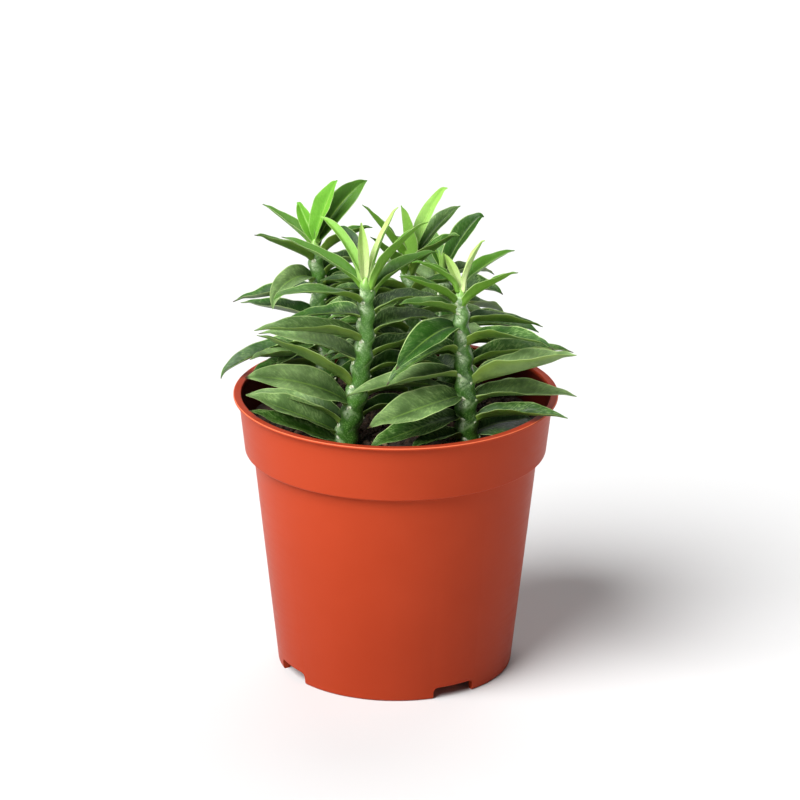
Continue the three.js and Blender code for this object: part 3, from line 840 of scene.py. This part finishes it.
def lathe(name, profile, segments):
    """A closed body of revolution about Z from a profile that starts and ends on the axis."""
    angles = np.arange(segments) / segments * 2 * math.pi
    rings = [(r, z) for r, z in profile if r > 1e-6]
    points = [(r * math.cos(a), r * math.sin(a), z) for r, z in rings for a in angles]
    faces = grid_faces(len(rings), segments)
    last = (len(rings) - 1) * segments
    points += [(0, 0, profile[0][1]), (0, 0, profile[-1][1])]
    for j in range(segments):
        k = (j + 1) % segments
        faces.append((len(points) - 2, k, j))
        faces.append((len(points) - 1, last + j, last + k))
    return new_object(name, points, faces)


def prism(name, outline, depth):
    """A prism along +Y from an outline in X and Z, counterclockwise as seen from -Y."""
    count = len(outline)
    points = [(x, 0, z) for x, z in outline] + [(x, depth, z) for x, z in outline]
    faces = [tuple(range(count)), tuple(reversed(range(count, 2 * count)))]
    faces += [(j, j + count, (j + 1) % count + count, (j + 1) % count) for j in range(count)]
    return new_object(name, points, faces, smooth=False)


def cut(thing, cutters):
    """Cuts each of the cutters out of a thing and removes them."""
    for cutter in cutters:
        modifier = thing.modifiers.new("cut", "BOOLEAN")
        modifier.operation = "DIFFERENCE"
        modifier.solver = "EXACT"
        modifier.object = cutter
    graph = bpy.context.evaluated_depsgraph_get()
    mesh = bpy.data.meshes.new_from_object(thing.evaluated_get(graph))
    thing.modifiers.clear()
    thing.data = mesh
    for cutter in cutters:
        bpy.data.objects.remove(cutter)


def notch_angle(number):
    return NOTCH_FIRST_ANGLE + number * 2 * math.pi / NOTCH_COUNT


def notch_cutters():
    """The notches under the foot ring, with rounded upper corners."""
    half = BODY_LOW_RADIUS * math.sin(NOTCH_SPAN / 2)
    outline = [(-half, -1 * MM), (half, -1 * MM)]
    for centre, first in ((half - NOTCH_CORNER, 0), (NOTCH_CORNER - half, 90)):
        for k in range(7):
            angle = math.radians(first + 15 * k)
            rise = NOTCH_HEIGHT - NOTCH_CORNER + NOTCH_CORNER * math.sin(angle)
            outline.append((centre + NOTCH_CORNER * math.cos(angle), rise))
    cutters = []
    out_of_wall = Matrix.Translation((0, -BODY_LOW_RADIUS - NOTCH_OVERHANG, 0))
    for i in range(NOTCH_COUNT):
        cutter = prism("notch", outline, NOTCH_DEPTH)
        cutter.matrix_world = Matrix.Rotation(notch_angle(i) + math.pi / 2, 4, "Z") @ out_of_wall
        cutters.append(cutter)
    return cutters


def drain_cutters():
    """One drain hole in the middle of the floor and one in line with each notch."""
    low, high = POT_FLOOR_UNDERSIDE - 2 * MM, POT_FLOOR_TOP + 2 * MM
    profile = [(0, low), (DRAIN_RADIUS, low), (DRAIN_RADIUS, high), (0, high)]
    cutters = []
    for i in range(NOTCH_COUNT + 1):
        reach = 0 if i == NOTCH_COUNT else DRAIN_CIRCLE
        cutter = lathe("drain", profile, 40)
        cutter.location = (reach * math.cos(notch_angle(i)), reach * math.sin(notch_angle(i)), 0)
        cutters.append(cutter)
    return cutters


def pot_profile():
    """The wall from the axis under the floor, up its outside, over the lip and down to the axis again."""
    lip_inner = LIP_RADIUS - LIP_WIDTH
    foot_inner = BODY_LOW_RADIUS - 2 * WALL
    return rounded([
        [0, POT_FLOOR_UNDERSIDE, 0],
        [foot_inner, POT_FLOOR_UNDERSIDE, 0.3 * MM],
        [foot_inner, 0, 0.3 * MM],
        [BODY_LOW_RADIUS, 0, 0.8 * MM],
        [BODY_TOP_RADIUS, BAND_FOOT, 0.35 * MM],
        [BAND_LOW_RADIUS, BAND_FOOT, 0.6 * MM],
        [BAND_TOP_RADIUS, LIP_FOOT, 0.3 * MM],
        [LIP_RADIUS, LIP_FOOT, 0.25 * MM],
        [LIP_RADIUS, POT_HEIGHT, 0.4 * MM],
        [lip_inner, POT_HEIGHT, 0.4 * MM],
        [lip_inner - 0.12 * MM, POT_HEIGHT - 1.4 * MM, 0],
        [lip_inner - 0.17 * MM, POT_HEIGHT - 1.9 * MM, 0],
        [BAND_LOW_RADIUS - WALL, BAND_FOOT + WALL, 0.5 * MM],
        [BODY_TOP_RADIUS - WALL, BAND_FOOT + WALL, 0.4 * MM],
        [body_radius(POT_FLOOR_TOP) - WALL, POT_FLOOR_TOP, 0.8 * MM],
        [0, POT_FLOOR_TOP, 0],
    ])


def wall_sides(point):
    """Whether a point of the pot is on its inner side, on the lip's thin edge, or on its top, for painted
    shade inside, a painted highlight on the edge and painted shade on the top.
    """
    radius, height = math.hypot(point.x, point.y), point.z
    outer = body_radius(min(height, BAND_FOOT))
    if height > BAND_FOOT + 0.5 * MM:
        outer = band_radius(min(height, LIP_FOOT))
    is_wall = POT_FLOOR_TOP - 0.1 * MM <= height <= POT_HEIGHT - 1.2 * MM
    is_lip_edge = radius > LIP_RADIUS - 0.22 * MM and height > POT_HEIGHT - 0.3 * MM
    is_lip_top = radius < LIP_RADIUS - 0.35 * MM and height > POT_HEIGHT - 0.5 * MM
    return is_wall and radius < outer - WALL / 2, is_lip_edge, is_lip_top


def pot_piece():
    pot = lathe("nursery_pot", pot_profile(), POT_SEGMENTS)
    cut(pot, notch_cutters() + drain_cutters())
    pot.data.set_sharp_from_angle(angle=POT_SHARP_ANGLE)
    add_attribute(pot.data, "side", [wall_sides(vertex.co) for vertex in pot.data.vertices])
    return pot


# Soil

def soil_height(x, y):
    """The uneven surface of the soil: low swells and small clods."""
    swells = 0.5 * MM * math.sin(x * 95 + 1.3) * math.cos(y * 80 - 0.4)
    clods = 0.45 * MM * math.sin(x * 410 + 3 * math.sin(y * 230)) * math.sin(y * 370 + 2 * math.sin(x * 190))
    return SOIL_LEVEL - 0.6 * MM + swells + clods


def soil_piece():
    """The block of soil, its sides just clear of the pot and its top uneven."""
    side = WALL + SOIL_GAP
    low = POT_FLOOR_TOP + SOIL_GAP
    top_radius = band_radius(SOIL_LEVEL) - side
    sides = [
        (0, low),
        (body_radius(low) - side, low),
        (BODY_TOP_RADIUS - side - SOIL_GAP, BAND_FOOT + WALL + SOIL_GAP),
        (BAND_LOW_RADIUS - side - SOIL_GAP, BAND_FOOT + WALL + 3 * SOIL_GAP),
        (top_radius, SOIL_LEVEL - 1.2 * MM),
    ]
    top = [(top_radius * (1 - k / SOIL_RINGS), SOIL_LEVEL) for k in range(1, SOIL_RINGS + 1)]
    soil = lathe("potting_mix", sides + top, SOIL_SEGMENTS)
    for vertex in soil.data.vertices:
        x, y, z = vertex.co
        if z > SOIL_LEVEL - 0.1 * MM:
            vertex.co.z = soil_height(x, y)
    soil.data.update()
    return soil


def grain_shape():
    """The points and faces of the ball that each grain is made from."""
    rows, columns = 5, 7
    points = [(0, 0, 1)]
    for i in range(rows):
        polar = math.pi * (i + 1) / (rows + 1)
        for j in range(columns):
            spin = 2 * math.pi * (j + 0.5 * (i % 2)) / columns
            reach = math.sin(polar)
            points.append((reach * math.cos(spin), reach * math.sin(spin), math.cos(polar)))
    points.append((0, 0, -1))
    faces = [tuple(1 + k for k in reversed(face)) for face in grid_faces(rows, columns)]
    last = 1 + (rows - 1) * columns
    for j in range(columns):
        k = (j + 1) % columns
        faces.append((0, 1 + j, 1 + k))
        faces.append((len(points) - 1, last + k, last + j))
    return np.array(points), faces


def draw_grain():
    """A place for a grain, whether it is a chip of bark, and its size."""
    x, y = DRAWS.uniform(-GRAIN_FIELD_MM, GRAIN_FIELD_MM, 2) * MM
    is_chip = DRAWS.random() < CHIP_SHARE
    size = (DRAWS.uniform(1.6, 2.9) if is_chip else 0.45 + 1.15 * DRAWS.random() ** 2.2) * MM
    return x, y, is_chip, size


def grain_fits(x, y, size, feet):
    """Whether a grain lies clear of the pot's wall and of the stalks' feet."""
    wall_gap = GRAIN_REACH - math.hypot(x, y) - size
    stalk_gap = min(math.hypot(x - foot[0], y - foot[1]) for foot in feet) - STALK_CLEARANCE - 0.5 * size
    return wall_gap >= 0 and stalk_gap >= 0


def grain_points(ball, x, y, is_chip, size):
    """The ball made rough, squashed, turned and half sunk into the soil."""
    squash = (1, DRAWS.uniform(0.3, 0.5), DRAWS.uniform(0.25, 0.4)) if is_chip else DRAWS.uniform(0.6, 1, 3)
    spin = Matrix.Rotation(DRAWS.uniform(0, 6.28), 3, "Z")
    turn = spin @ Matrix.Rotation(DRAWS.uniform(-0.4, 0.4), 3, "X")
    rough = ball * (1 + DRAWS.uniform(-0.22, 0.22, (len(ball), 1))) * squash * size
    return rough @ np.array(turn).T + (x, y, soil_height(x, y) + size * (0.15 if is_chip else 0.3))


def grains_piece():
    """Loose grains, peat crumbs and a few bark chips over the soil."""
    ball, ball_faces = grain_shape()
    feet = [axis_at(stem, [SOIL_LEVEL])[0] for stem in STEMS]
    points, faces, tones = [], [], []
    while len(points) < GRAIN_COUNT:
        x, y, is_chip, size = draw_grain()
        if not grain_fits(x, y, size, feet):
            continue
        faces += [tuple(k + len(points) * len(ball) for k in face) for face in ball_faces]
        points.append(grain_points(ball, x, y, is_chip, size))
        tones.append(np.full((len(ball), 3), DRAWS.random(3)))
    attributes = {"tone": np.concatenate(tones)}
    return new_object("soil_grains", np.concatenate(points), faces, attributes, smooth=False)


# Materials

def leaf_pattern(n):
    """What a leaf's colours are mixed by: its attributes, and streaks, blotches and soft patches."""
    along, across, chance = n.parts("blade")
    young, upper, mood = n.parts("tone")
    place = n.place()
    edge = n.math("ABSOLUTE", across)
    slanted = n.math("SUBTRACT", n.times(along, 20), n.times(edge, 2.5))
    grain = n.add("CombineXYZ", {0: slanted, 1: n.times(edge, 1.6), 2: n.times(chance, 40)}).outputs[0]
    return SimpleNamespace(
        along=along, edge=edge, chance=chance, young=young, upper=upper, mood=mood, place=place, grain=grain,
        streaks=n.range(n.noise(grain, 2.4, 5, 0.68, 0.2), 0.42, 0.72),
        blotches=n.range(n.noise(place, 120, 4, 0.6), 0.34, 0.62),
        patches=n.noise(place, 60, 2),
    )


def grown_colour(n, leaf):
    """A grown leaf: deep green, or grey green by a painted sheen that its mood brings, with pale streaks
    above, painted shade near the midrib and the stem, and lighter below.
    """
    # The sheen is a painted highlight: grey laid into the colour towards the tip and in blotches, on leaves
    # of high mood.
    sheen = n.times(n.range(leaf.along, 0.1, 0.55, 0.3, 1.0), n.range(leaf.blotches, 0, 1, 0.6, 1.0))
    sheen = n.times(sheen, n.range(leaf.mood, 0.5, 1.0))
    streaks = n.times(n.times(leaf.streaks, leaf.blotches), n.range(leaf.mood, 0.0, 0.4, 0.3, 0.95))
    above = n.layers(n.mix(n.range(leaf.patches, 0.3, 0.7), *LEAF_DARK), [
        (n.range(leaf.mood, 0.0, 0.4, 0.55, 0), LEAF_DEEP),
        (n.times(sheen, 0.85), LEAF_PAINTED_SHEEN),
        (streaks, LEAF_STREAK),
    ])
    # Painted shade: darker in the fold along the midrib and towards the stem.
    above = n.mix(n.range(leaf.edge, 0.05, 0.7, 0.6, 0), above, LEAF_SHADE, "MULTIPLY")
    above = n.mix(n.range(leaf.along, 0.0, 0.4, 0.7, 0), above, LEAF_SHADE, "MULTIPLY")
    below = n.layers(n.mix(n.range(leaf.along, 0.0, 0.7), *UNDERSIDE), [
        (sheen, UNDERSIDE_PAINTED_SHEEN),
        (n.range(leaf.mood, 0.0, 0.4, 0.6, 0), UNDERSIDE_DEEP),
        (n.times(leaf.blotches, 0.6), UNDERSIDE_BLOTCH),
        (n.range(leaf.edge, 0.35, 1.0, 0, 0.55), UNDERSIDE_EDGE),
    ])
    return n.mix(leaf.upper, below, above)


def aged_colour(n, leaf, colour):
    """The grown leaf's colour, or fresh green, lime and nearly white the younger the leaf is."""
    colour = n.layers(colour, [
        (n.range(leaf.young, 0.0, 0.4), n.mix(leaf.upper, *YOUNG_GREEN)),
        (n.range(leaf.young, 0.4, 0.75), n.mix(leaf.upper, *YOUNG_LIME)),
        (n.range(leaf.young, 0.7, 1.0), n.mix(n.range(leaf.along, 0.1, 0.9), *YOUNG_PALE)),
    ])
    streaks = n.mix(n.times(leaf.streaks, 0.6), WHITE, YOUNG_STREAK)
    return n.mix(n.range(leaf.young, 0.1, 0.5), colour, streaks, "MULTIPLY")


def lined_colour(n, leaf, colour):
    """The colour with a pale midrib, pale margins and, on some grown leaves, a withered tip."""
    rib = n.times(n.range(leaf.edge, 0.075, 0.02), n.range(leaf.along, 1.0, 0.5, 0.1, 0.7))
    rib = n.times(rib, n.range(leaf.young, 0.0, 0.4, 0.45, 1.0))
    margin = n.times(n.range(leaf.edge, 0.91, 0.97), n.range(leaf.patches, 0.3, 0.7, 0.25, 0.9))
    withered = n.times(n.range(leaf.along, 0.94, 0.98), n.range(leaf.chance, 0.5, 0.7))
    withered = n.times(withered, n.range(leaf.young, 0.6, 0.2))
    return n.layers(colour, [(rib, LEAF_MIDRIB), (margin, LEAF_MARGIN), (withered, LEAF_WITHERED)])


def leaf_material():
    """Waxy leaf that lets a little light through, with fine veins."""
    n = Nodes("leaf")
    leaf = leaf_pattern(n)
    colour = aged_colour(n, leaf, grown_colour(n, leaf))
    n.set(Base_Color=lined_colour(n, leaf, colour))
    n.set(Roughness=n.range(leaf.patches, 0.2, 0.8, 0.34, 0.5), Specular_IOR_Level=0.28)
    n.set(Subsurface_Weight=0.06, Subsurface_Radius=LIGHT_REACH_IN_LEAF, Subsurface_Scale=0.0012)
    veins = n.math("ADD", n.noise(leaf.grain, 2.2, 3), n.times(n.noise(leaf.place, 700, 2), 0.5))
    n.bump(veins, 0.3, 0.0006)
    return n.owner


def stalk_colour(n, place, soft):
    """Green, darker at the foot and lighter upwards, with specks, cushions painted paler as a highlight,
    pale rims that are partly a painted highlight, patches of painted highlight, creases of painted shade and
    pale flecks.
    """
    young, rim, crease = n.parts("tone")
    scar, swell, painted_highlight = n.parts("marks")
    height = n.height(place)
    # The painted highlight, stronger higher up the stalk.
    painted_highlight = n.math("POWER", painted_highlight, 1.5)
    painted_highlight = n.times(painted_highlight, n.range(height, SOIL_LEVEL, SOIL_LEVEL + 40 * MM, 0.6, 1.0))
    upward = n.range(height, SOIL_LEVEL + 20 * MM, SOIL_LEVEL + 45 * MM)
    specks = n.range(n.noise(place, 2300, 2, 0.5), 0.5, 0.64)
    rim_breakup = n.range(n.noise(place, 420, 4, 0.6), 0.35, 0.6)
    patchy = n.range(n.noise(place, 1100, 5, 0.7), 0.4, 0.56, 0.15, 1.0)
    flecks = n.range(n.math("ADD", scar, n.noise(place, 1500, 3, 0.7)), 1.02, 1.2)
    return n.layers(n.mix(n.range(soft, 0.3, 0.7), *STALK_GREEN), [
        (n.range(height, SOIL_LEVEL, SOIL_LEVEL + 22 * MM, 0.5, 0.0), STALK_FOOT),
        (n.times(upward, 0.55), STALK_UPPER),
        (n.times(specks, 0.45), STALK_SPECK),
        # The swollen cushions painted paler: a painted highlight.
        (n.times(swell, 0.3), STALK_SWELL_HIGHLIGHT),
        # Pale rims, partly the stalk's own colour and partly a painted highlight, broken up by noise.
        (n.times(n.times(rim, rim_breakup), 0.6), STALK_RIM_AND_HIGHLIGHT),
        (n.times(n.times(painted_highlight, patchy), 0.95), STALK_PAINTED_HIGHLIGHT),
        # Painted shade in the creases.
        (n.times(crease, 0.5), STALK_CREASE_SHADE),
        (flecks, STALK_FLECK),
        (n.range(young, 0.05, 0.9), STALK_YOUNG),
    ])


def stalk_material():
    """Glossy stalk that lets a little light through."""
    n = Nodes("stalk")
    place = n.place()
    soft = n.noise(place, 110, 3)
    n.set(Base_Color=stalk_colour(n, place, soft))
    n.set(Roughness=n.range(soft, 0.2, 0.8, 0.3, 0.42), Specular_IOR_Level=0.3)
    n.set(Coat_Weight=0.3, Coat_Roughness=0.16)
    n.set(Subsurface_Weight=0.1, Subsurface_Radius=LIGHT_REACH_IN_LEAF, Subsurface_Scale=0.002)
    n.bump(n.noise(place, 500, 3), 0.15, 0.0005)
    return n.owner


def scar_material():
    n = Nodes("scar")
    mottle = n.noise(n.place(), 1400, 3)
    n.set(Base_Color=n.mix(n.range(mottle, 0.35, 0.65), *GLAND_PALE))
    n.set(Roughness=n.range(mottle, 0.3, 0.7, 0.4, 0.6))
    n.bump(mottle, 0.3, 0.0003)
    return n.owner


def pot_material():
    """Terracotta-coloured moulded plastic, softly glossy, with faint cloudiness and fine scuffs, painted
    shade towards the foot, inside and on the lip's top, and a painted highlight along the lip's edge.
    """
    n = Nodes("terracotta_plastic")
    place = n.place()
    inside, edge, top = n.parts("side")
    n.set(Base_Color=n.layers(n.mix(n.range(n.noise(place, 22, 3), 0.3, 0.7), *POT_CLOUD), [
        # Painted shade, darker towards the foot.
        (n.range(n.height(place), BAND_FOOT, 0.0, 0.0, 0.45), POT_FOOT_SHADE),
        # Painted shade on the lip's top.
        (n.times(top, 0.5), POT_LIP_TOP_SHADE),
        # Painted shade over the inner wall.
        (inside, POT_INSIDE_SHADE),
        # A painted highlight along the lip's rounded edge.
        (n.times(edge, 0.65), POT_LIP_HIGHLIGHT),
    ]))
    flow = n.add("Mapping", {"Vector": place, "Scale": (1, 1, 14)}).outputs[0]
    scuffs = n.noise(flow, 60, 5, 0.7)
    n.set(Roughness=n.range(scuffs, 0.3, 0.75, 0.38, 0.44), Specular_IOR_Level=0.07)
    n.set(Subsurface_Weight=0.06, Subsurface_Radius=LIGHT_REACH_IN_PLASTIC, Subsurface_Scale=0.002)
    n.bump(n.noise(place, 900, 3), 0.06, 0.0003)
    return n.owner


def soil_material():
    n = Nodes("soil")
    place = n.place()
    coarse = n.noise(place, 260, 5, 0.7)
    fine = n.noise(place, 1300, 4, 0.7)
    colour = n.mix(n.range(coarse, 0.35, 0.65), *SOIL_CLOD)
    n.set(Base_Color=n.mix(n.range(fine, 0.6, 0.75, 0, 0.5), colour, SOIL_FLECK))
    n.set(Roughness=0.95)
    n.bump(n.math("ADD", coarse, n.times(fine, 0.5)), 0.9, 0.0012)
    return n.owner


def grain_material():
    n = Nodes("soil_grain")
    shade, chance, _ = n.parts("tone")
    fine = n.noise(n.place(), 900, 4, 0.7)
    colour = n.mix(n.range(chance, 0.9, 0.94), n.mix(shade, *GRAIN_SHADES), GRAIN_BARK)
    n.set(Base_Color=n.mix(0.6, colour, n.mix(fine, *GRAIN_MOTTLE), "MULTIPLY"))
    n.set(Roughness=0.92)
    n.bump(fine, 0.7, 0.0006)
    return n.owner


def floor_material():
    n = Nodes("pale_floor")
    n.set(Base_Color=FLOOR_COLOUR, Roughness=0.8, Specular_IOR_Level=0.0)
    return n.owner


# Stage

def add_floor():
    rim = [(FLOOR_RADIUS, -FLOOR_THICKNESS), (FLOOR_RADIUS, 0)]
    floor = lathe("floor", [(0, -FLOOR_THICKNESS)] + rim + [(0, 0)], 64)
    floor.data.shade_flat()
    floor.data.materials.append(floor_material())


def add_sun(name, azimuth, elevation, strength, softness):
    """A soft sun that shines from an azimuth, counted from -Y towards +X, and an elevation, in degrees."""
    light = bpy.data.lights.new(name, "SUN")
    light.energy = strength
    light.angle = math.radians(softness)
    lamp = bpy.data.objects.new(name, light)
    bpy.context.scene.collection.objects.link(lamp)
    turn, rise = math.radians(azimuth), math.radians(elevation)
    source = Vector((math.sin(turn) * math.cos(rise), -math.cos(turn) * math.cos(rise), math.sin(rise)))
    lamp.rotation_euler = (-source).to_track_quat("-Z", "Y").to_euler()


def add_world():
    """A dim studio, bright along the horizon like a lit backdrop."""
    n = Nodes("studio", bpy.data.worlds, "Background")
    upward = n.height(n.place("Generated"))
    n.set(Strength=n.range(upward, *HORIZON_FADE, *WORLD_STRENGTHS), Color=(1, 1, 1, 1))
    bpy.context.scene.world = n.owner


def add_camera():
    lens = bpy.data.cameras.new("camera")
    lens.lens = CAMERA_LENS
    lens.sensor_width = CAMERA_SENSOR
    camera = bpy.data.objects.new("camera", lens)
    bpy.context.scene.collection.objects.link(camera)
    back = Vector((0, -math.cos(CAMERA_ELEVATION), math.sin(CAMERA_ELEVATION)))
    place = CAMERA_TARGET + CAMERA_DISTANCE * back
    aim = (CAMERA_AIM - place).to_track_quat("-Z", "Y").to_matrix().to_4x4()
    camera.matrix_world = Matrix.Translation(place) @ aim @ Matrix.Rotation(CAMERA_ROLL, 4, "Z")
    bpy.context.scene.camera = camera


def add_stage():
    bpy.context.scene.view_settings.view_transform = "Standard"
    add_camera()
    add_world()
    add_floor()
    for sun in SUNS:
        add_sun(*sun)


def dress(piece, material, slot, *nodes):
    """Gives a piece its material and says what it rides on and stands for; the slot is not used."""
    piece.data.materials.clear()
    piece.data.materials.append(material)
    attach(piece, "root")
    if nodes:
        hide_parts(*nodes)


add_stage()
dress(pot_piece(), pot_material(), "pot_plastic", "pot")
dress(soil_piece(), soil_material(), "potting_soil", "soil")
dress(grains_piece(), grain_material(), "potting_soil")
leaf_look, stalk_look, scar_look = leaf_material(), stalk_material(), scar_material()
for stem_number, stem in enumerate(STEMS):
    dress(stalk_piece(stem), stalk_look, "foliage", stem["name"])
    dress(leaves_piece(stem, stem_number), leaf_look, "foliage", stem["name"])
    dress(scars_piece(stem), scar_look, "foliage")
